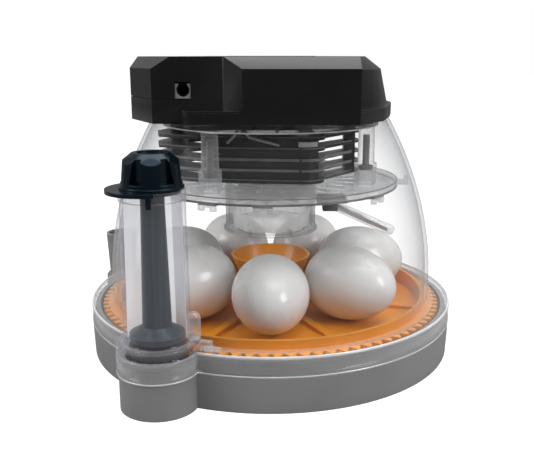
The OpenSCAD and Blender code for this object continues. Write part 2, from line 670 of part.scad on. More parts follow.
module fan_impeller() color([0.22, 0.22, 0.23]) {
    cylinder_between(1.5, fan_z, deck_top + 7);
    difference() {
        cylinder_between(fan_hub_r, fan_z, fan_z + fan_h);
        cylinder_between(fan_hub_r - 1.4, fan_z + 1.5, fan_z + fan_h + eps);
    }
    for (k = [0:blade_count - 1]) rotate(360 * k / blade_count) translate([fan_hub_r - 0.6, 0, fan_z + fan_h / 2]) rotate([38, 0, 0])
        translate([0, -0.7, -5]) cube([17, 1.4, 10]);
}

module deck() color([0.86, 0.88, 0.9, 0.35]) difference() {
    union() {
        translate([0, 0, deck_z]) cylinder(r = deck_r, h = deck_t, $fn = 144);
        translate([0, 0, deck_z - 0.8]) ring(deck_r, deck_r - 1.8, 3.8, $fn = 144);
        translate([0, 0, deck_z]) ring(36, 33.5, deck_t + 0.8, $fn = 96);
        for (a = tab_angles) rotate(a) translate([deck_r - 2, -4, deck_z]) {
            cube([8.4, 8, deck_t]);
            translate([6, 0, 0]) cube([2.4, 8, 4.6]);
        }
        for (a = clip_angles) rotate(a) translate([deck_r - 5, -5.2, deck_z - 4.6]) difference() {
            cube([5.4, 10.4, 5]);
            translate([-1, -1, -1]) cube([4, 13, 3.6]);
            translate([-1, 3, -1]) cube([9, 4.4, 3]);
        }
    }
    difference() {
        cylinder_between(duct_r - 1.6, 0, 200);
        cylinder_between(9, 0, 200);
        for (t = [30, 150, 270]) rotate(t) translate([0, -3, 0]) cube([40, 6, 200]);
    }
    cylinder_between(5 + run, 0, 200);
    for (a = post_angles) around(a, post_r) cylinder_between(4.8, 0, 200);
    for (k = [0:23]) rotate(15 * k + 7.5) translate([42, -1.1, 0]) cube([11, 2.2, 200]);
}

module deck_posts() color([0.88, 0.9, 0.92, 0.35]) for (a = post_angles) around(a, post_r) difference() {
    union() {
        cylinder_between(6.4, deck_top, 114.8);
        translate([0, 0, 114.8]) cylinder(r1 = 5, r2 = 4.6, h = carrier_z - 114.8);
    }
    cylinder_between(4.8, deck_top - 1, 113.2);
    cylinder_between(2.05, 100, 131.5);
}

module deck_screws() color([0.2, 0.2, 0.21]) for (a = post_angles) around(a, post_r) {
    cylinder_between(4.2, 110.8, 113.2);
    cylinder_between(2, 113.2, 131);
}

module air_duct() color([0.88, 0.9, 0.92, 0.35]) difference() {
    union() {
        translate([0, 0, duct_z]) ring(duct_r, duct_r - 1.6, deck_z - duct_z);
        translate([0, 0, duct_z]) ring(21.5, 20, 6);
        for (t = [0:60:300]) rotate(t) translate([20.8, -0.7, duct_z]) cube([6.4, 1.4, 3]);
        translate([0, 0, duct_z]) ring(duct_r + 1.2, duct_r - 1, 1.4);
    }
    rotate(224) translate([duct_r - 4, -1.1, duct_z + 4]) cube([8, 2.2, 17]);
}

module probe_bracket() color([0.25, 0.25, 0.26]) difference() {
    union() {
        translate([25, -61.5, deck_z - 2.2]) cube([16.5, 17.5, 2.2]);
        translate([29, -54, deck_z - 8]) cube([8, 9, 7]);
    }
    rod(probe_from - (probe_to - probe_from) * 0.2, probe_to, probe_r + run);
}
module probe_tube() color([0.86, 0.88, 0.9, 0.4]) difference() {
    union() {
        rod(probe_from, probe_to, probe_r);
        rod(probe_to, probe_to + (probe_to - probe_from) * 0.04, probe_r, probe_r - 1.2);
    }
    rod(probe_from - (probe_to - probe_from) * 0.02, probe_to, probe_r - 0.9);
}
module probe_sensor() color([0.6, 0.6, 0.62]) rod(probe_from, probe_to - (probe_to - probe_from) * 0.05, 1.5);

// ---- turning column ----

module turning_knob() color([0.08, 0.11, 0.13]) at_column() rotate(knob_turned) difference() {
    union() {
        cylinder_between(knob_r, knob_z, knob_z + 1.2);
        translate([0, 0, knob_z + 1.1]) cylinder(r1 = knob_r - 0.65, r2 = knob_shoulder_r, h = knob_shoulder_z - knob_z - 1.1);
        translate([0, 0, knob_shoulder_z]) cylinder(r1 = knob_shoulder_r, r2 = knob_crown_r, h = knob_top_z - knob_shoulder_z);
        difference() {
            translate([-(lip_reach - knob_r) / 2, 0, knob_z - lip_h + 0.1]) cylinder(r = (lip_reach + knob_r) / 2, h = lip_h);
            cylinder_between(tube_r1 + 0.5 + gap, 0, knob_z);
            translate([0.5, -40, 0]) cube([60, 80, 200]);
        }
        rotate(264) translate([tube_r1 + 0.55 + gap, -1.2, knob_z - tab_h]) cube([1.9, 2.4, tab_h + 0.1]);
        translate([0, 0, tube_top_z - plug_h]) ring(tube_r1 - tube_wall - run, tube_r1 - tube_wall - 1.8, knob_z - tube_top_z + plug_h + 1);
    }
    translate([0, 0, knob_top_z - 0.9]) cylinder(r = 6.6, h = 3);
    for (k = [0:5]) rotate(k * 60 - 60) {
        translate([scallop_r, 0, knob_shoulder_z]) rotate([0, 4, 0]) translate([0, 0, -scallop_h]) scallop();
        rotate(-30) translate([12.75, -20, knob_shoulder_z - 0.1]) rotate([0, -38, 0]) translate([0, 0, -3]) cube([10, 40, 12]);
    }
    cylinder_between(shaft_r1 + run, 0, knob_top_z - 6);
}
// a finger scallop: wider at its foot than at its top
module scallop() rotate([0, -90, 0]) translate([0, 0, -8]) linear_extrude(8) polygon([[0, -3.8], [0, 3.8], [scallop_h + 2.2, 1.7], [scallop_h + 2.2, -1.7]]);

module turning_shaft() color([0.3, 0.35, 0.4]) at_column() {
    translate([0, 0, 44]) cylinder(r1 = shaft_r0, r2 = shaft_r1, h = knob_z - 10 - 44);
    cylinder_between(shaft_r1, knob_z - 10, knob_top_z - 7);
    translate([0, 0, 40]) cylinder(r1 = 13.4, r2 = shaft_r0, h = 4);
    cylinder_between(14, 36.9, 40);
    cylinder_between(6.2, 34.2, 37);
    cylinder_between(4, 22.9, 34.3);
    cylinder_between(foot_pin_r, 6, 23);
}
module drive_pinion() color([0.25, 0.24, 0.25]) at_column() difference() {
    union() {
        translate([0, 0, 23]) rotate(column_angle + 180 + 180 / pinion_teeth) linear_extrude(11) polygon(gear_points(pinion_teeth, 5));
        cylinder_between(pinion_drum_r, ring_z1 + 1, 34);
    }
    cylinder_between(4 + run, 0, 40);
}

// ---- which node to build ----

base_shell();
base_tray();
water_tray();
water_pipe();
water_filler();
base_screws();
shaft_bush();
egg_disk();
centre_cup();
eggs();
dome();
tube_collar();
head_lower();
head_cover();
head_seal();
head_screws();
display_frame();
display_window();
inlet_surround();
power_inlet();
circuit_board();
carrier_plate();
heater_plates();
heater_rod();
plate_label();
ribbed_spacer();
fan_motor();
fan_wires();
heater_leads();
carrier_screws();
deck();
deck_posts();
deck_screws();
air_duct();
probe_bracket();
probe_tube();
probe_sensor();
turning_knob();
turning_shaft();
drive_pinion();
fan_impeller();
button_left();
button_middle();
button_right();
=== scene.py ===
import math

import bmesh
import bpy
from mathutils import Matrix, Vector


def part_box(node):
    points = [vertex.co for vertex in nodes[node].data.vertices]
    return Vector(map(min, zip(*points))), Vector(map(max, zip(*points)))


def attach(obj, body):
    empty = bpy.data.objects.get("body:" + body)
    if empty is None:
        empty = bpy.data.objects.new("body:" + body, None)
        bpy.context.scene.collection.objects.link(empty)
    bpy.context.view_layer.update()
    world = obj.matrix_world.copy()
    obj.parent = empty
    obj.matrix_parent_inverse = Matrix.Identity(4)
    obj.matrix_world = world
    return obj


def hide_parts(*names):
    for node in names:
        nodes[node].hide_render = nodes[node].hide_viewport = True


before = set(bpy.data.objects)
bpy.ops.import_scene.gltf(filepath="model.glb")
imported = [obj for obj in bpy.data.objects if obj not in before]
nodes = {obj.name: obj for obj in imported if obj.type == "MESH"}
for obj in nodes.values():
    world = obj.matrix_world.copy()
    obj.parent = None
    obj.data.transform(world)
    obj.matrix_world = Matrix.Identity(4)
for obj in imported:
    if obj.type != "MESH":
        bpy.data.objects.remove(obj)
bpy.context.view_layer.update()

MM = 0.001

# ---------------------------------------------------------------- materials

FINE_STEP = 0.0004      # height of the surface grain, in metres
ROUGH_VARY = 0.12       # how much the roughness of an opaque material varies
COAT_ROUGH = 0.08       # roughness of a glossy coat
PLASTIC_SHINE = 0.6     # specular level of the clear plastics
LIGHT_PASS = (0.985, 0.985, 0.985, 1)   # what clear plastic lets through to light the inside
CLOUD_SCALE, STREAK_SCALE = 25, 140     # of the clear plastics' faint colour and of their streaks


def new_material(name):
    m = bpy.data.materials.new(name)
    m.use_nodes = True
    nt = m.node_tree
    nt.nodes.clear()
    out = nt.nodes.new("ShaderNodeOutputMaterial")
    return m, nt, out


def add(nt, kind, **inputs):
    n = nt.nodes.new(kind)
    for k, v in inputs.items():
        n.inputs[k.replace("_", " ")].default_value = v
    return n


def noise(nt, scale, detail=4.0, stretch=(1, 1, 1)):
    at = nt.nodes.new("ShaderNodeTexCoord")
    fit = nt.nodes.new("ShaderNodeMapping")
    fit.inputs["Scale"].default_value = stretch
    tex = add(nt, "ShaderNodeTexNoise", Scale=scale, Detail=detail)
    nt.links.new(at.outputs["Object"], fit.inputs["Vector"])
    nt.links.new(fit.outputs["Vector"], tex.inputs["Vector"])
    return tex.outputs["Fac"]


def ramp(nt, source, low, high):
    r = nt.nodes.new("ShaderNodeValToRGB")
    r.color_ramp.elements[0].position, r.color_ramp.elements[0].color = 0.35, low
    r.color_ramp.elements[1].position, r.color_ramp.elements[1].color = 0.65, high
    nt.links.new(source, r.inputs["Fac"])
    return r.outputs["Color"]


def spread(nt, source, low, high, first=0.3, last=0.7):
    """Values from first to last become values from low to high."""
    r = add(nt, "ShaderNodeMapRange", From_Min=first, From_Max=last, To_Min=low, To_Max=high)
    nt.links.new(source, r.inputs["Value"])
    return r.outputs["Result"]


def camera_or(nt, others, camera):
    """A shader that shows one thing to the camera and another to every other ray."""
    ray = nt.nodes.new("ShaderNodeLightPath")
    pick = nt.nodes.new("ShaderNodeMixShader")
    nt.links.new(ray.outputs["Is Camera Ray"], pick.inputs["Fac"])
    nt.links.new(others.outputs[0], pick.inputs[1])
    nt.links.new(camera.outputs[0], pick.inputs[2])
    return pick.outputs[0]


def solid(name, colour, rough, vary, scale, bump=0.02, bump_scale=900, edge=0.0, coat=0.0, metal=0.0,
          stretch=(1, 1, 1), spec=0.5, shine=(1, 1, 1)):
    """An opaque material: colour and roughness vary softly, over a fine grain.

    With edge set, its sharp edges look rounded by that many millimetres.
    """
    m, nt, out = new_material(name)
    p = add(nt, "ShaderNodeBsdfPrincipled", Metallic=metal, Coat_Weight=coat,
            Coat_Roughness=COAT_ROUGH, Specular_IOR_Level=spec, Specular_Tint=(*shine, 1))
    soft = noise(nt, scale, stretch=stretch)
    low = [max(0, c * (1 - vary)) for c in colour] + [1]
    high = [min(1, c * (1 + vary)) for c in colour] + [1]
    nt.links.new(ramp(nt, soft, low, high), p.inputs["Base Color"])
    dull = spread(nt, soft, rough * (1 - ROUGH_VARY), min(1, rough * (1 + ROUGH_VARY)))
    nt.links.new(dull, p.inputs["Roughness"])
    normal = None
    if edge:
        b = nt.nodes.new("ShaderNodeBevel")
        b.samples = 4
        b.inputs["Radius"].default_value = edge * MM
        normal = b.outputs["Normal"]
    if bump:
        g = add(nt, "ShaderNodeBump", Strength=bump, Distance=FINE_STEP)
        nt.links.new(noise(nt, bump_scale, 2.0), g.inputs["Height"])
        if normal:
            nt.links.new(normal, g.inputs["Normal"])
        normal = g.outputs["Normal"]
    if normal:
        nt.links.new(normal, p.inputs["Normal"])
    nt.links.new(p.outputs["BSDF"], out.inputs["Surface"])
    return m


def clear(name, shine, power, colour, pass_face, pass_rim, mirror, rough=0.05, streaks=0.0, painted_glow=0.0):
    """Thin clear plastic: it shows what is behind it, and turns grey and shiny towards its edges.

    shine is the share of skin, seen face on and edge on. pass_face and pass_rim are what the
    rest lets through there. The glow argument is painted light: the skin gives off light of its own, though
    it is no lamp.
    """
    m, nt, out = new_material(name)
    face = add(nt, "ShaderNodeLayerWeight", Blend=0.5)
    bend = nt.nodes.new("ShaderNodeMath")
    bend.operation = "POWER"
    bend.inputs[1].default_value = power
    nt.links.new(face.outputs["Facing"], bend.inputs[0])
    through = nt.nodes.new("ShaderNodeBsdfTransparent")
    tint = nt.nodes.new("ShaderNodeMix")
    tint.data_type = "RGBA"
    tint.inputs["A"].default_value = (*pass_face, 1)
    tint.inputs["B"].default_value = (*pass_rim, 1)
    nt.links.new(bend.outputs[0], tint.inputs["Factor"])
    # light on its way in is dimmed less than what is seen through the wall
    ray = nt.nodes.new("ShaderNodeLightPath")
    pale = nt.nodes.new("ShaderNodeMix")
    pale.data_type = "RGBA"
    pale.inputs["B"].default_value = LIGHT_PASS
    nt.links.new(ray.outputs["Is Shadow Ray"], pale.inputs["Factor"])
    nt.links.new(tint.outputs["Result"], pale.inputs["A"])
    nt.links.new(pale.outputs["Result"], through.inputs["Color"])
    # painted light: the skin gives off light in its own colour, though the plastic is no lamp
    skin = add(nt, "ShaderNodeBsdfPrincipled", Roughness=rough, Metallic=mirror,
               Specular_IOR_Level=PLASTIC_SHINE, Emission_Color=(*colour, 1), Emission_Strength=painted_glow)
    cloud = noise(nt, CLOUD_SCALE, 3.0)
    low = [c * 0.94 for c in colour] + [1]
    high = [min(1, c * 1.04) for c in colour] + [1]
    nt.links.new(ramp(nt, cloud, low, high), skin.inputs["Base Color"])
    amount = spread(nt, bend.outputs[0], *shine, first=0.0, last=1.0)
    if streaks:
        more = nt.nodes.new("ShaderNodeMath")
        more.operation = "MULTIPLY_ADD"
        more.inputs[1].default_value = streaks
        streak = noise(nt, STREAK_SCALE, 3.0, (1, 1, 0.35))
        nt.links.new(spread(nt, streak, 0.0, 1.0), more.inputs[0])
        nt.links.new(amount, more.inputs[2])
        amount = more.outputs[0]
    mix = nt.nodes.new("ShaderNodeMixShader")
    nt.links.new(amount, mix.inputs["Fac"])
    nt.links.new(through.outputs[0], mix.inputs[1])
    nt.links.new(skin.outputs[0], mix.inputs[2])
    nt.links.new(mix.outputs[0], out.inputs["Surface"])
    return m


# solid: name, colour, roughness, how much the colour varies, the scale of that, the grain and its scale
# clear: name, shine, power, colour, pass_face, pass_rim, and the rest by name
M = {
    "base": solid("base_plastic", (0.2, 0.2, 0.2), 0.5, 0.05, 30, 0.25, 1400, edge=0.8),
    "base_light": solid("tray_plastic", (0.3, 0.3, 0.305), 0.5, 0.05, 30, 0.1, 1200, edge=0.4),
    "filler": solid("filler_plastic", (0.19, 0.19, 0.19), 0.5, 0.05, 30, 0.15, 1200, edge=0.5),
    "water": solid("water_tray_plastic", (0.3, 0.34, 0.38), 0.35, 0.05, 30, 0.03, edge=0.3),
    "orange": solid("disk_orange", (0.79, 0.295, 0.012), 0.32, 0.05, 40, 0.04, 900, edge=0.35, coat=0.15),
    "cup": solid("cup_orange", (0.84, 0.33, 0.015), 0.35, 0.06, 40, 0.04, 900, edge=0.4, coat=0.1),
    "egg": solid("eggshell", (0.74, 0.735, 0.73), 0.28, 0.03, 22, 0.05, 1600, coat=0.25),
    "black": solid("head_plastic", (0.0025, 0.0025, 0.003), 0.27, 0.15, 40, 0.06, 1500, spec=0.34),
    "head_edge": solid("head_edge", (0.006, 0.006, 0.0065), 0.34, 0.2, 60, 0.04, 1500, spec=0.3),
    "knob": solid("knob_plastic", (0.001, 0.003, 0.005), 0.24, 0.15, 60, 0.03, 1200, edge=0.5, spec=0.26,
                  shine=(0.5, 0.78, 1.0)),
    "shaft": solid("shaft_plastic", (0.028, 0.038, 0.05), 0.34, 0.3, 500, 0.06, 700, stretch=(1, 1, 0.03)),
    "pinion": solid("pinion_plastic", (0.045, 0.042, 0.045), 0.45, 0.1, 80, 0.03),
    "plates": solid("plate_plastic", (0.008, 0.008, 0.009), 0.3, 0.15, 60, 0.04, edge=0.5),
    "dark": solid("dark_plastic", (0.05, 0.05, 0.053), 0.45, 0.1, 60, 0.03, edge=0.3),
    "screw": solid("screw_steel", (0.42, 0.42, 0.43), 0.32, 0.08, 200, 0.02, metal=1.0),
    "screw_dark": solid("screw_dark", (0.06, 0.06, 0.065), 0.35, 0.1, 200, 0.02, metal=0.6),
    "seal": solid("seal_rubber", (0.5, 0.5, 0.5), 0.6, 0.05, 60, 0.05),
    "panel": solid("panel_plastic", (0.02, 0.02, 0.022), 0.2, 0.1, 60, 0.01, edge=0.3),
    "window": solid("window_lens", (0.1, 0.14, 0.12), 0.12, 0.08, 30, 0.0, coat=0.6),
    "socket": solid("socket_black", (0.003, 0.003, 0.003), 0.6, 0.1, 60, 0.02, spec=0.1),
    "inlet": solid("inlet_grey", (0.16, 0.16, 0.16), 0.5, 0.05, 100, 0.05, edge=0.2),
    "board": solid("board_green", (0.03, 0.16, 0.07), 0.35, 0.12, 120, 0.03, edge=0.1),
    "element": solid("element_metal", (0.36, 0.24, 0.16), 0.4, 0.15, 80, 0.05, metal=0.7),
    "label": solid("label_paper", (0.75, 0.75, 0.74), 0.6, 0.04, 100, 0.03),
    "wire": solid("wire_rubber", (0.42, 0.42, 0.42), 0.5, 0.06, 100, 0.03),
    "sensor": solid("sensor_metal", (0.55, 0.55, 0.56), 0.3, 0.08, 150, 0.02, metal=1.0),
    "fan": solid("fan_plastic", (0.42, 0.42, 0.43), 0.4, 0.1, 60, 0.03, edge=0.2),
    "button": solid("button_rubber", (0.26, 0.27, 0.28), 0.55, 0.06, 100, 0.05, edge=0.5),
    "dome": clear("dome_clear", (0.012, 0.5), 3.4, (0.8, 0.81, 0.83), (0.945, 0.945, 0.945),
                  (0.7, 0.71, 0.72), mirror=0.15, rough=0.12),
    "flange": clear("flange_clear", (0.1, 0.6), 2.0, (0.85, 0.85, 0.86), (0.98, 0.98, 0.98),
                    (0.85, 0.86, 0.87), mirror=0.25, rough=0.15),
    "flange_top": clear("flange_top_clear", (0.02, 0.3), 3.2, (0.85, 0.85, 0.86), (0.98, 0.98, 0.98),
                        (0.86, 0.87, 0.88), mirror=0.3, rough=0.12),
    # painted highlight: pale, shiny plastic for the bright edge lines of the skirt
    "edge": clear("edge_highlight_clear", (0.5, 0.85), 1.5, (0.88, 0.88, 0.89), (0.95, 0.95, 0.95), (0.8, 0.8, 0.8),
                  mirror=0.2, rough=0.2),
    "tube": clear("tube_clear", (0.03, 0.5), 3.0, (0.87, 0.87, 0.9), (0.975, 0.975, 0.98), (0.74, 0.75, 0.79),
                  mirror=0.5),
    # painted light: a pale sheet that gives off light, for the bright inside of the column
    "satin": clear("painted_light_wall_clear", (0.78, 0.88), 1.5, (0.86, 0.865, 0.875), (0.9, 0.9, 0.91), (0.7, 0.7, 0.72),
                   mirror=0.25, rough=0.35, painted_glow=0.56),
    # painted shade: a darker copy of that sheet, giving off less light, for its right part
    "painted_shade_wall": clear("painted_shade_wall_clear", (0.6, 0.8), 1.5, (0.78, 0.775, 0.8), (0.86, 0.86, 0.88),
                        (0.66, 0.66, 0.69), mirror=0.25, rough=0.35, painted_glow=0.22),
    # painted light: the deck gives off a little light of its own
    "deck": clear("deck_clear", (0.08, 0.5), 2.0, (0.7, 0.705, 0.71), (0.86, 0.865, 0.87),
                  (0.62, 0.625, 0.63), mirror=0.4, streaks=0.16, painted_glow=0.24),
    # painted shade: dark grey for the lines along the deck's edges and under its clips
    "deck_edge_shade": solid("deck_edge_shade", (0.13, 0.13, 0.132), 0.3, 0.3, 150, 0.03),
    # painted light: the liner gives off light of its own, also on the carrier's edge
    "liner": clear("liner_clear", (0.36, 0.6), 1.6, (0.8, 0.8, 0.8), (0.95, 0.95, 0.95), (0.72, 0.72, 0.72),
                   mirror=0.2, rough=0.3, streaks=0.2, painted_glow=0.34),
    # painted light: the posts give off a little light of their own, where the head shades them
    "post": clear("post_clear", (0.07, 0.66), 2.2, (0.84, 0.85, 0.86), (0.96, 0.96, 0.96), (0.5, 0.51, 0.52),
                  mirror=0.5, rough=0.08, streaks=0.12, painted_glow=0.14),
    "plate_edge": solid("plate_edge", (0.16, 0.16, 0.165), 0.35, 0.2, 120, 0.02),
    "carrier": clear("carrier_clear", (0.04, 0.2), 1.6, (0.6, 0.61, 0.62), (0.52, 0.525, 0.53),
                     (0.45, 0.455, 0.46), mirror=0.4, streaks=0.1),
    "inner": clear("inner_clear", (0.03, 0.55), 2.6, (0.85, 0.86, 0.87), (0.96, 0.965, 0.965),
                   (0.4, 0.41, 0.42), mirror=0.5, streaks=0.08),
}
DRESS = {
    "base_shell": "base", "base_tray": "base_light", "water_tray": "water", "water_pipe": "base_light",
    "water_filler": "filler", "base_screws": "screw", "shaft_bush": "dark", "egg_disk": "orange",
    "centre_cup": "cup", "eggs": "egg", "dome": "dome", "tube_collar": "tube", "head_lower": "black",
    "head_cover": "black", "head_seal": "seal", "head_screws": "screw", "display_frame": "panel",
    "display_window": "window", "inlet_surround": "inlet", "power_inlet": "socket", "circuit_board": "board",
    "carrier_plate": "carrier", "heater_plates": "plates", "heater_rod": "element", "plate_label": "label",
    "ribbed_spacer": "post", "fan_motor": "dark", "fan_wires": "wire", "heater_leads": "wire",
    "carrier_screws": "screw_dark", "deck": "deck", "deck_posts": "post", "deck_screws": "screw_dark",
    "air_duct": "inner", "probe_bracket": "dark", "probe_tube": "post", "probe_sensor": "sensor",
    "turning_knob": "knob", "turning_shaft": "shaft", "drive_pinion": "pinion", "fan_impeller": "fan",
    "button_left": "button", "button_middle": "button", "button_right": "button",
}
for node, key in DRESS.items():
    nodes[node].data.materials.clear()
    nodes[node].data.materials.append(M[key])

# ---------------------------------------------------------------- mesh helpers, in millimetres

SHARP = 35      # faces that meet at more than this many degrees keep a sharp edge
AXIS = 0.001    # radius that stands for a point on the axis


def mesh(name, verts, faces, material, body, smooth=True, angle=SHARP):
    me = bpy.data.meshes.new(name)
    me.from_pydata([(x * MM, y * MM, z * MM) for x, y, z in verts], [], faces)
    me.validate()
    me.update()
    o = bpy.data.objects.new(name, me)
    bpy.context.scene.collection.objects.link(o)
    me.materials.append(M[material])
    if smooth:
        me.shade_smooth()
        me.set_sharp_from_angle(angle=math.radians(angle))
    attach(o, body)
    return o


def polar(r, a, at=(0, 0)):
    """The point at radius r and angle a, in radians, round a centre."""
    return at[0] + r * math.cos(a), at[1] + r * math.sin(a)


def arc(cx, cz, r, a0, a1, steps):
    turns = [math.radians(a0 + (a1 - a0) * i / steps) for i in range(steps + 1)]
    return [polar(r, a, (cx, cz)) for a in turns]


def bands(rows, across, closed=True):
    """Four-sided faces between rows of points, each row `across` points long."""
    faces = []
    for j in range(rows - 1):
        for i in range(across if closed else across - 1):
            k = (i + 1) % across
            faces.append((j * across + i, j * across + k, (j + 1) * across + k, (j + 1) * across + i))
    return faces


def lathe(name, profile, material, body, at=(0, 0), segments=128, closed=True):
    """profile is a list of (r, z). It closes on itself, or its two ends lie on the axis."""
    verts, faces = [], []
    n = len(profile)
    for k in range(segments):
        verts += [(*polar(r, 2 * math.pi * k / segments, at), z) for r, z in profile]
    for k in range(segments):
        here, there = k * n, (k + 1) % segments * n
        for i in range(n if closed else n - 1):
            j = (i + 1) % n
            faces.append((here + i, there + i, there + j, here + j))
    return mesh(name, verts, faces, material, body)


def hoop(name, inner, outer, low, high, material):
    """A thin ring with a rectangular section, on the lid's inner parts."""
    profile = [(inner, low), (outer, low), (outer, high), (inner, high)]
    lathe(name, profile, material, "lid", segments=144)


def block(name, centre, half, material, turn, bevel=0.3):
    """A box with softened edges, turned round the upright axis. half holds half of each size."""
    verts = []
    a = math.radians(turn)
    for dz in (-1, 1):
        for dx, dy in ((-1, -1), (1, -1), (1, 1), (-1, 1)):
            x, y = dx * half[0], dy * half[1]
            verts.append((centre[0] + x * math.cos(a) - y * math.sin(a),
                          centre[1] + x * math.sin(a) + y * math.cos(a), centre[2] + dz * half[2]))
    faces = [(0, 3, 2, 1), (4, 5, 6, 7), (0, 1, 5, 4), (1, 2, 6, 5), (2, 3, 7, 6), (3, 0, 4, 7)]
    o = mesh(name, verts, faces, material, "lid", smooth=False)
    b = o.modifiers.new("edge", "BEVEL")
    b.width = bevel * MM
    b.segments = 2


def solidify(o, thickness):
    """Gives a single-sided wall its thickness, behind its faces."""
    s = o.modifiers.new("wall", "SOLIDIFY")
    s.thickness = thickness * MM
    s.offset = -1


# ---------------------------------------------------------------- dome, from the CAD node's own size

lo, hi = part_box("dome")
BASE_R = hi.x / MM              # outside of the skirt
SKIRT_Z = lo.z / MM
DOME_TOP = hi.z / MM
DOME_R = BASE_R - 13            # outside of the dome's straight foot
WALL = 2.3
FLANGE = 31.0                   # top of the flange
COVER = 36.6                    # top of the lobe's cover
SHEET = 1.8                     # wall of the skirt and of the lobe's cover
FILLET = 4.0                    # from the flange up into the dome

# the foot is straight, and above it the wall leans in by a power of the height
STRAIGHT, LEAN, LEAN_H, POWER = 42.0, 27.8, 98.4, 2.02
DOME_STEPS = 60


def dome_outer(z):
    return DOME_R - (LEAN * ((z - STRAIGHT) / LEAN_H) ** POWER if z > STRAIGHT else 0)


zs = [STRAIGHT + (DOME_TOP - STRAIGHT) * i / DOME_STEPS for i in range(DOME_STEPS + 1)]
outside = [(dome_outer(z) - 0.02, z) for z in reversed(zs)]
foot = arc(DOME_R + FILLET, FLANGE + FILLET, FILLET, 180, 270, 9)
heel = [(DOME_R + 3.8, FLANGE - 1.9), (DOME_R - WALL + 0.4, FLANGE - 2), (DOME_R - WALL, FLANGE - 1.6)]
inside = [(dome_outer(z) - WALL, z) for z in zs]
dome = lathe("dome_shell", outside + foot + heel + inside, "dome", "lid", segments=160)
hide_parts("dome")

# the column stands on the pinion's axis
pinion_lo, pinion_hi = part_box("drive_pinion")
CX, CY = (pinion_lo.x + pinion_hi.x) / 2 / MM, (pinion_lo.y + pinion_hi.y) / 2 / MM
DIST = math.hypot(CX, CY)
ANGLE = math.radians(240)

# the dome's foot is cut back to its wall where the drum above the pinion turns
DRUM_ROOM = (pinion_hi.x - pinion_lo.x) / 2 / MM + 0.8
for v in dome.data.vertices:
    if math.hypot(v.co.x / MM - CX, v.co.y / MM - CY) < DRUM_ROOM:
        back = DOME_R * MM / math.hypot(v.co.x, v.co.y)
        v.co.x *= back
        v.co.y *= back

# ---------------------------------------------------------------- skirt and flange

LOBE_R = 21.5                   # outside of the skirt round the column
ROUND_STEPS, LOBE_STEPS = 150, 26
OUTLINE = ROUND_STEPS + LOBE_STEPS


def outline(inset):
    """The skirt's plan outline moved in by inset, and which of its points lie on the lobe."""
    big, small = BASE_R - inset, LOBE_R - inset
    alpha = math.acos((big * big + DIST * DIST - small * small) / (2 * big * DIST))
    gamma = math.atan2(big * math.sin(alpha), big * math.cos(alpha) - DIST)
    pts, on_lobe = [], []
    for i in range(ROUND_STEPS + 1):
        pts.append(polar(big, ANGLE + alpha + (2 * math.pi - 2 * alpha) * i / ROUND_STEPS))
        on_lobe.append(i in (0, ROUND_STEPS))
    for i in range(1, LOBE_STEPS):
        pts.append(polar(small, ANGLE - gamma + 2 * gamma * i / LOBE_STEPS, (CX, CY)))
        on_lobe.append(True)
    return pts, on_lobe


def off_lobe(faces):
    """The faces between two rows of the outline that don't lie along the lobe."""
    on_lobe = outline(0)[1]
    return [q for q in faces if not (on_lobe[q[0] % OUTLINE] and on_lobe[q[1] % OUTLINE])]


def skirt_ring(name, levels, material, wall, lobe=True):
    """A wall that follows the outline. levels are (inset, z)."""
    verts = [(x, y, z) for inset, z in levels for x, y in outline(inset)[0]]
    faces = bands(len(levels), OUTLINE)
    o = mesh(name, verts, faces if lobe else off_lobe(faces), material, "lid")
    solidify(o, wall)


skirt_ring("dome_skirt", [(0, SKIRT_Z), (0, FLANGE - 1.0), (0.3, FLANGE - 0.3), (1.0, FLANGE)], "flange",
           SHEET)
# painted highlight: a pale strip along the skirt's lower edge
skirt_ring("skirt_edge_highlight", [(-0.02, SKIRT_Z), (-0.02, SKIRT_Z + 0.8)], "edge", 0.4)
# painted highlight along the skirt's top edge, left out where the lobe's own wall goes on upwards
skirt_ring("flange_edge_highlight", [(-0.02, FLANGE - 1.25), (0.28, FLANGE - 0.28), (0.9, FLANGE + 0.03)], "edge", 0.3,
           lobe=False)

# flange from the skirt's top edge to the dome's foot, without the lobe
rim = outline(1.0)[0]
verts = [(x, y, FLANGE) for x, y in rim]
verts += [(*polar(DOME_R + FILLET, math.atan2(y, x)), FLANGE) for x, y in rim]
flange = mesh("dome_flange", verts, off_lobe(bands(2, OUTLINE)), "flange_top", "lid")
solidify(flange, 1.9)

# ---------------------------------------------------------------- column tube, its web and the lobe's cover

collar_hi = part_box("tube_collar")[1]
TUBE_TOP = collar_hi.z / MM
TUBE_END = TUBE_TOP - 5         # the tube ends inside the collar
TUBE_LOW, TUBE_HIGH = 17.2, 16.1    # its outer radius at the cover and at its end
TUBE_WALL = 1.9
SIDES = 72

# the cover's rings go round the column, and are left open where they would cross into the dome
levels = [(LOBE_R, FLANGE - 0.8), (LOBE_R, COVER - 1.2), (LOBE_R - 0.4, COVER - 0.35), (LOBE_R - 1.2, COVER),
          (TUBE_LOW, COVER)]
verts = [(*polar(r, 2 * math.pi * k / SIDES, (CX, CY)), z) for r, z in levels for k in range(SIDES)]
faces = [q for q in bands(len(levels), SIDES)
         if all(math.hypot(verts[i][0], verts[i][1]) > DOME_R - 0.5 for i in q)]
solidify(mesh("lobe_cover", verts, faces, "tube", "lid"), SHEET)

outside = [(TUBE_LOW + 1.9, COVER), (TUBE_LOW + 0.7, COVER + 0.4), (TUBE_LOW + 0.1, COVER + 1.4),
           (TUBE_LOW - 0.02, COVER + 3), (TUBE_HIGH + 0.02, TUBE_END)]
inside = [(TUBE_HIGH - TUBE_WALL, TUBE_END), (TUBE_LOW - TUBE_WALL, COVER - 1.6),
          (TUBE_LOW - 1.2, COVER - 1.9), (TUBE_LOW + 0.6, COVER - 1.8)]
lathe("column_tube", outside + inside, "tube", "lid", at=(CX, CY), segments=SIDES)
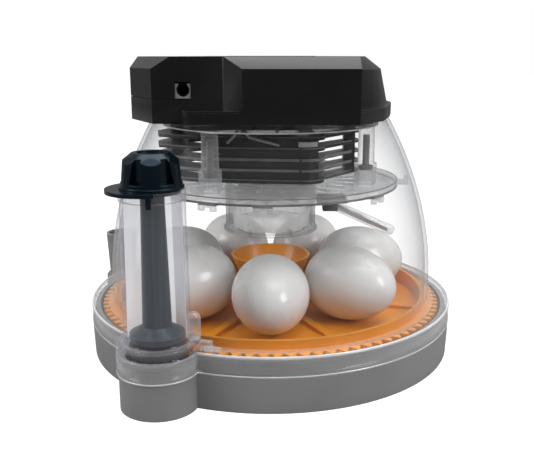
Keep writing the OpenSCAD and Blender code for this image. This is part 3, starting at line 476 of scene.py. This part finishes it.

# pale wall down the side of the column that faces the dome; it gives off light of its own, painted light, and
# its right part is a darker copy, painted shade
PAINTED_WALL_STEPS = 24
PAINTED_WALL_ENDS = ((TUBE_LOW - TUBE_WALL - 0.2, COVER + 0.5), (TUBE_HIGH - TUBE_WALL - 0.2, TUBE_END - 0.2))
PAINTED_WALL_PARTS = (("column_painted_light_wall", 58, 186, "satin"), ("column_painted_shade_wall", -8, 58, "painted_shade_wall"))
for name, first, last, painted_wall in PAINTED_WALL_PARTS:
    turns = [math.radians(first + (last - first) * k / PAINTED_WALL_STEPS) for k in range(PAINTED_WALL_STEPS + 1)]
    verts = [(*polar(r, t, (CX, CY)), z) for r, z in PAINTED_WALL_ENDS for t in turns]
    mesh(name, verts, bands(2, PAINTED_WALL_STEPS + 1, closed=False), painted_wall, "lid", angle=80)

# radial web between the column and the dome, closed along its top
WEB_HALF, WEB_STEPS = 1.0, 24
WEB_TOP = TUBE_TOP - 8
verts, faces = [], []
for s in (-WEB_HALF, WEB_HALF):
    for i in range(WEB_STEPS + 1):
        z = FLANGE + (WEB_TOP - FLANGE) * i / WEB_STEPS
        near = dome_outer(z) - WALL / 2
        tube = TUBE_LOW + (TUBE_HIGH - TUBE_LOW) * (z - COVER) / (TUBE_END - COVER)
        for r in (near, max(DIST - tube + 0.5, near + 0.3)):
            x, y = polar(r, ANGLE)
            verts.append((x - s * math.sin(ANGLE), y + s * math.cos(ANGLE), z))
half = 2 * (WEB_STEPS + 1)
for i in range(WEB_STEPS):
    a = 2 * i
    faces.append((a, a + 2, a + 3, a + 1))
    a += half
    faces.append((a, a + 1, a + 3, a + 2))
faces.append((half - 2, 2 * half - 2, 2 * half - 1, half - 1))
mesh("column_web", verts, faces, "tube", "lid", smooth=False)

# round-topped post on the lobe's cover, and the small blocks where the cover meets the flange
POST_R = 3.4
POST_Z = COVER + 10.2           # where its round top starts
profile = [(AXIS, COVER - 1), (POST_R, COVER - 1)]
profile += arc(0, POST_Z, POST_R, 0, 90, 8)[:-1] + [(AXIS, POST_Z + POST_R)]
lathe("cover_post", profile, "post", "lid", at=(-39, -98), segments=28, closed=False)
block("cover_block_a", (-33.0, -101.0, FLANGE + 2.0), (3.2, 2.2, 2.4), "post", -18)
block("cover_block_b", (-29.5, -103.3, FLANGE + 0.9), (4.5, 1.3, 1.2), "post", -16)

# ---------------------------------------------------------------- clear parts and plates under the head

# wavy liner inside the duct cup: a foot and a middle row with nine waves, and a round lip
DUCT_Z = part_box("air_duct")[0].z / MM
LINER_STEPS, WAVES, WAVE = 144, 9, 1.1
turns = [2 * math.pi * k / LINER_STEPS for k in range(LINER_STEPS)]
verts = [(*polar(22.6 + WAVE * math.cos(WAVES * a), a), DUCT_Z + 1.6) for a in turns]
verts += [(*polar(23.2 + WAVE * math.cos(WAVES * a), a), DUCT_Z + 8.5 + 0.9 * math.sin(5 * a)) for a in turns]
verts += [(*polar(24.4, a), DUCT_Z + 13.0 + 1.2 * math.sin(4 * a + 1)) for a in turns]
solidify(mesh("duct_liner", verts, bands(3, LINER_STEPS), "liner", "lid"), 0.5)

# painted highlight: a thin hoop that gives off light along the carrier's lower edge
carrier_lo, carrier_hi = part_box("carrier_plate")
CARRIER_R, CARRIER_Z = carrier_hi.x / MM, carrier_lo.z / MM
hoop("carrier_edge_highlight", CARRIER_R - 0.6, CARRIER_R + 0.15, CARRIER_Z - 0.1, CARRIER_Z + 0.5, "liner")

# painted shade: a dark line along the deck's lower edge, and a fainter one along its top
DECK_R = 77.5
DECK_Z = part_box("deck")[0].z / MM + 4.6     # above its clips
for name, z, h in (("deck_shade_line_low", DECK_Z - 0.85, 1.1), ("deck_shade_line_top", DECK_Z + 2.75, 0.3)):
    hoop(name, DECK_R - 0.5, DECK_R + 0.1, z, z + h, "deck_edge_shade")

# painted shade along the lower edges of the clips round the deck
CLIPS = (244, 267, 321, 15, 69, 123, 180)
for i, a in enumerate(CLIPS):
    place = (*polar(DECK_R - 0.7, math.radians(a)), DECK_Z - 1.3)
    block(f"clip_shade_line_{i + 1}", place, (0.9, 5.3, 0.35), "deck_edge_shade", a, bevel=0.15)

# lit front edges of the black plates, along their left side, round their disc and along their right
PLATE_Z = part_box("heater_plates")[0].z / MM
PITCH, PLATE_T = 6.2, 2.2       # from plate to plate, and the thickness of one
DISC_X, DISC_Y, DISC_R = 19.0, -20.0, 13.0
BEND = Vector((-42, -25.3))     # where the left side turns towards the disc
front = [(-66.5, -9.6)]
front += [tuple(BEND.lerp(Vector((DISC_X, DISC_Y - DISC_R)), t / 6)) for t in range(6)]
front += arc(DISC_X, DISC_Y, DISC_R + 0.1, -90, 6, 16)
front += [(31.9, -17.2), (44.0, -0.1), (56.1, 17.0)]
for k, tall in enumerate((0.5, 1.5, 1.6, 0.7, 0.5)):
    top = PLATE_Z + k * PITCH + PLATE_T
    verts = [(x, y, z) for z in (top - tall, top + 0.02) for x, y in front]
    mesh(f"plate_edge_{k + 1}", verts, bands(2, len(front), closed=False), "plate_edge", "lid",
         angle=60)

# ---------------------------------------------------------------- eggs

EGGS = 7
EGG_L = 57.5
e_lo, e_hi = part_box("eggs")
EGG_Z = (e_lo.z + e_hi.z) / 2 / MM
EGG_W = (e_hi.z - e_lo.z) / MM
EGG_R = -e_lo.y / MM - EGG_L / 2        # from the disk's axis to the middle of an egg
EGG_ROWS, EGG_SIDES = 47, 72


def egg_shape(u):
    """The egg's radius at u, which runs along its axis from -1 to 1. It is scaled to EGG_W later."""
    return math.sqrt(max(0, 1 - u * u)) / math.sqrt(1.05 + 0.2 * u)


widest = max(egg_shape(i / 50 - 1) for i in range(101))
profile = []
for i in range(1, EGG_ROWS + 1):
    u = -math.cos(math.pi * i / (EGG_ROWS + 1))
    profile.append((EGG_W / 2 * egg_shape(u) / widest, u * EGG_L / 2))
# one egg along z: its two ends, then a column of points for each side
egg_verts, egg_faces = [(0, 0, -EGG_L / 2), (0, 0, EGG_L / 2)], []
for s in range(EGG_SIDES):
    egg_verts += [(*polar(r, 2 * math.pi * s / EGG_SIDES), z) for r, z in profile]
    b, c = 2 + s * EGG_ROWS, 2 + (s + 1) % EGG_SIDES * EGG_ROWS
    egg_faces += [(0, c, b), (1, b + EGG_ROWS - 1, c + EGG_ROWS - 1)]
    egg_faces += [(b + i, c + i, c + i + 1, b + i + 1) for i in range(EGG_ROWS - 1)]
for k in range(EGGS):
    # the long axis lies along the radius, the narrow end outwards
    a = math.radians(270 + 360 * k / EGGS)
    verts = []
    for x, y, z in egg_verts:
        out_x, out_y = polar(EGG_R + z, a)
        verts.append((out_x - y * math.sin(a), out_y + y * math.cos(a), EGG_Z - x))
    o = mesh(f"egg_{k + 1}", verts, egg_faces, "egg", "egg_carrier", angle=180)
    if k == 0:
        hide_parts("eggs")

# ---------------------------------------------------------------- head, from the two CAD halves


def joined(name, parts, material, body, width):
    """One body from several CAD nodes, with its long edges rounded."""
    o = bpy.data.objects.new(name, nodes[parts[0]].data.copy())
    bpy.context.scene.collection.objects.link(o)
    for other in parts[1:]:
        b = o.modifiers.new("join", "BOOLEAN")
        b.operation = "UNION"
        b.solver = "EXACT"
        b.object = nodes[other]
    dg = bpy.context.evaluated_depsgraph_get()
    me = bpy.data.meshes.new_from_object(o.evaluated_get(dg))
    o.modifiers.clear()
    o.data = me
    bm = bmesh.new()
    bm.from_mesh(me)
    bmesh.ops.remove_doubles(bm, verts=bm.verts, dist=0.02 * MM)
    bmesh.ops.dissolve_limit(bm, angle_limit=math.radians(1.5), verts=bm.verts, edges=bm.edges)
    bm.to_mesh(me)
    bm.free()
    e = o.modifiers.new("edge", "BEVEL")
    e.width = width * MM
    e.segments = 3
    e.limit_method = "ANGLE"
    e.angle_limit = math.radians(28)
    e.use_clamp_overlap = True
    me.materials.clear()
    me.materials.append(M[material])
    me.shade_smooth()
    me.set_sharp_from_angle(angle=math.radians(SHARP))
    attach(o, body)
    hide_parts(*parts)


joined("head_body", ("head_cover", "head_lower"), "black", "lid", 0.7)

# rounded top edge of the finger ledge, on the left of the front lobe and on its right
FRONT_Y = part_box("head_lower")[0].y / MM
LEDGE_Z = 149.2
left = [(-44, FRONT_Y + 1.5), (-41, FRONT_Y), (-16, FRONT_Y)]
right = [(45.5, FRONT_Y + 0.7), (60, -58), (68, -28), (70, 0)]
for name, path in (("ledge_line_left", left), ("ledge_line_right", right)):
    # from just outside the ledge's face up to just inside its top
    verts = [(x * 1.0005, y - 0.05, LEDGE_Z - 0.9) for x, y in path]
    verts += [(x * 0.994, y + 0.7, LEDGE_Z + 0.06) for x, y in path]
    mesh(name, verts, bands(2, len(path), closed=False), "head_edge", "lid")

# ---------------------------------------------------------------- stage, light and camera

scene = bpy.context.scene
FLOOR = 6       # metres from the middle to each side
me = bpy.data.meshes.new("floor")
corners = [(-FLOOR, -FLOOR, 0), (FLOOR, -FLOOR, 0), (FLOOR, FLOOR, 0), (-FLOOR, FLOOR, 0)]
me.from_pydata(corners, [], [(0, 1, 2, 3)])
floor = bpy.data.objects.new("floor", me)
scene.collection.objects.link(floor)
# the floor reads pale to the camera, and sends only a little light back to the object
floor_m, nt, out = new_material("floor_white")
p = add(nt, "ShaderNodeBsdfPrincipled", Roughness=0.8, Specular_IOR_Level=0.1)
nt.links.new(ramp(nt, noise(nt, 3), (0.22, 0.22, 0.22, 1), (0.25, 0.25, 0.25, 1)), p.inputs["Base Color"])
pale = add(nt, "ShaderNodeEmission", Color=(1, 1, 1, 1), Strength=0.93)
both = nt.nodes.new("ShaderNodeAddShader")
nt.links.new(pale.outputs[0], both.inputs[0])
nt.links.new(p.outputs[0], both.inputs[1])
nt.links.new(camera_or(nt, p, both), out.inputs["Surface"])
me.materials.append(floor_m)

# the world is white to the camera, and grey for reflections, paler towards the top
world = bpy.data.worlds.new("studio")
scene.world = world
world.use_nodes = True
nt = world.node_tree
nt.nodes.clear()
out = nt.nodes.new("ShaderNodeOutputWorld")
coord = nt.nodes.new("ShaderNodeTexCoord")
split = nt.nodes.new("ShaderNodeSeparateXYZ")
nt.links.new(coord.outputs["Generated"], split.inputs[0])
lit = add(nt, "ShaderNodeBackground", Color=(1, 1, 1, 1))
nt.links.new(spread(nt, split.outputs["Z"], 0.16, 0.6, first=-0.1, last=0.9), lit.inputs["Strength"])
seen = add(nt, "ShaderNodeBackground", Color=(1, 1, 1, 1), Strength=1.0)
nt.links.new(camera_or(nt, lit, seen), out.inputs["Surface"])


def softbox(name, place, aim, size, power):
    light = bpy.data.lights.new(name, "AREA")
    light.shape = "RECTANGLE"
    light.size, light.size_y = size
    light.energy = power
    o = bpy.data.objects.new(name, light)
    scene.collection.objects.link(o)
    o.location = place
    o.rotation_euler = (Vector(aim) - Vector(place)).to_track_quat("-Z", "Y").to_euler()


softbox("key_top", (0.1, 0.1, 1.3), (0, 0, 0.08), (1.4, 1.2), 26)
softbox("fill_left", (-1.3, -0.45, 0.85), (0, 0, 0.08), (0.7, 0.7), 12)
softbox("fill_right", (1.2, -0.8, 0.8), (0, 0, 0.06), (0.5, 0.7), 12)

CAMERA_DROP = 14.14     # degrees below level
camera = bpy.data.cameras.new("camera")
camera.sensor_width = 36
camera.lens = 48.98
camera.shift_x = -0.0066
view = bpy.data.objects.new("camera", camera)
scene.collection.objects.link(view)
view.location = (0, -0.4464, 0.1767)
view.rotation_euler = (math.radians(90 - CAMERA_DROP), 0, 0)
scene.camera = view
scene.view_settings.view_transform = "Standard"
scene.cycles.transparent_max_bounces = 64
